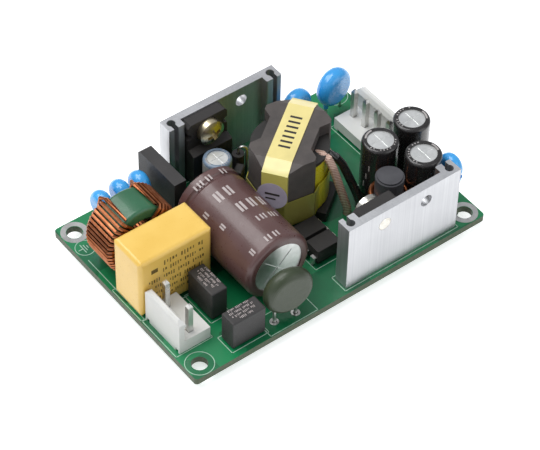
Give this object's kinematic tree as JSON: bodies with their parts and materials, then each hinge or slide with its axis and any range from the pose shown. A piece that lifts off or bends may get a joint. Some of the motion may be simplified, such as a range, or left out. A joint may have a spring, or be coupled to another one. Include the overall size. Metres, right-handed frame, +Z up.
{
  "type": "open frame power supply",
  "caption": "Open-frame switching power supply board with wire headers, heatsinks, transformer and capacitors on a bare green board with corner mounting holes.",
  "frame": {"origin": "centre of the four mounting holes, on the underside of the board", "axes": "+X along the board towards the output header, +Y across it towards the primary heatsink, +Z up from the board"},
  "size_m": [0.0762, 0.0508, 0.023],
  "materials": {
    "board": "green solder mask",
    "solder": "bright solder",
    "nylon": "natural nylon",
    "tinned": "tinned wire",
    "black_moulding": "moulded epoxy",
    "package_black": "moulded epoxy",
    "yellow_box": "moulded box",
    "green_coating": "dipped coating",
    "copper_wire": "enamelled copper",
    "olive_coating": "dipped coating",
    "brown_sleeve": "shrink sleeve",
    "aluminium_can": "drawn aluminium",
    "seal_rubber": "moulded rubber",
    "heatsink": "extruded, bare",
    "zinc_screw": "zinc plated, yellow",
    "nickel_screw": "nickel plated",
    "blue_sleeve": "shrink sleeve",
    "ferrite": "ground ferrite",
    "bobbin": "moulded phenolic",
    "yellow_tape": "polyester tape",
    "litz": "stranded enamelled wire",
    "black_sleeve": "plastic sleeve",
    "blue_coating": "dipped coating"
  },
  "bodies": {
    "root": {"pcb": "board", "solder_joints": "solder", "input_header": "nylon", "input_header_pins": "tinned", "output_header": "nylon", "output_header_pins": "tinned", "fuse_1": "black_moulding", "fuse_2": "black_moulding", "film_capacitor": "yellow_box", "choke_core": "green_coating", "choke_winding_left": "copper_wire", "choke_winding_right": "copper_wire", "thermistor": "olive_coating", "thermistor_leads": "tinned", "bridge_rectifier": "black_moulding", "bridge_rectifier_leads": "tinned", "bulk_capacitor_sleeve": "brown_sleeve", "bulk_capacitor_can": "aluminium_can", "bulk_capacitor_seal": "seal_rubber", "bulk_capacitor_leads": "tinned", "disc_capacitor_1": "blue_coating", "disc_capacitor_2": "blue_coating", "disc_capacitor_3": "blue_coating", "disc_capacitor_4": "blue_coating", "disc_capacitor_5": "blue_coating", "disc_capacitor_6": "blue_coating", "disc_capacitor_leads": "tinned", "primary_heatsink": "heatsink", "secondary_heatsink": "heatsink", "heatsink_pins": "tinned", "switching_transistor": "package_black", "switching_transistor_leads": "tinned", "transistor_screw": "zinc_screw", "output_rectifier": "package_black", "output_rectifier_leads": "tinned", "rectifier_screw": "nickel_screw", "small_capacitor_sleeve": "blue_sleeve", "capacitor_cans": "aluminium_can", "snubber_diode": "black_moulding", "snubber_diode_lead": "tinned", "snubber_capacitor": "black_moulding", "transformer_core_lower": "ferrite", "transformer_core_upper": "ferrite", "transformer_bobbin": "bobbin", "transformer_winding": "yellow_tape", "transformer_core_tape": "yellow_tape", "transformer_belt": "yellow_tape", "transformer_pins": "tinned", "fly_lead_litz": "litz", "fly_lead_sleeved": "black_sleeve", "output_capacitor_1": "black_sleeve", "output_capacitor_2": "black_sleeve", "output_capacitor_3": "black_sleeve", "output_inductor_core": "ferrite", "output_inductor_winding": "copper_wire", "optocoupler_1": "package_black", "optocoupler_2": "package_black", "optocoupler_leads": "tinned", "surface_mount_parts": "black_moulding"}
  },
  "joints": []
}
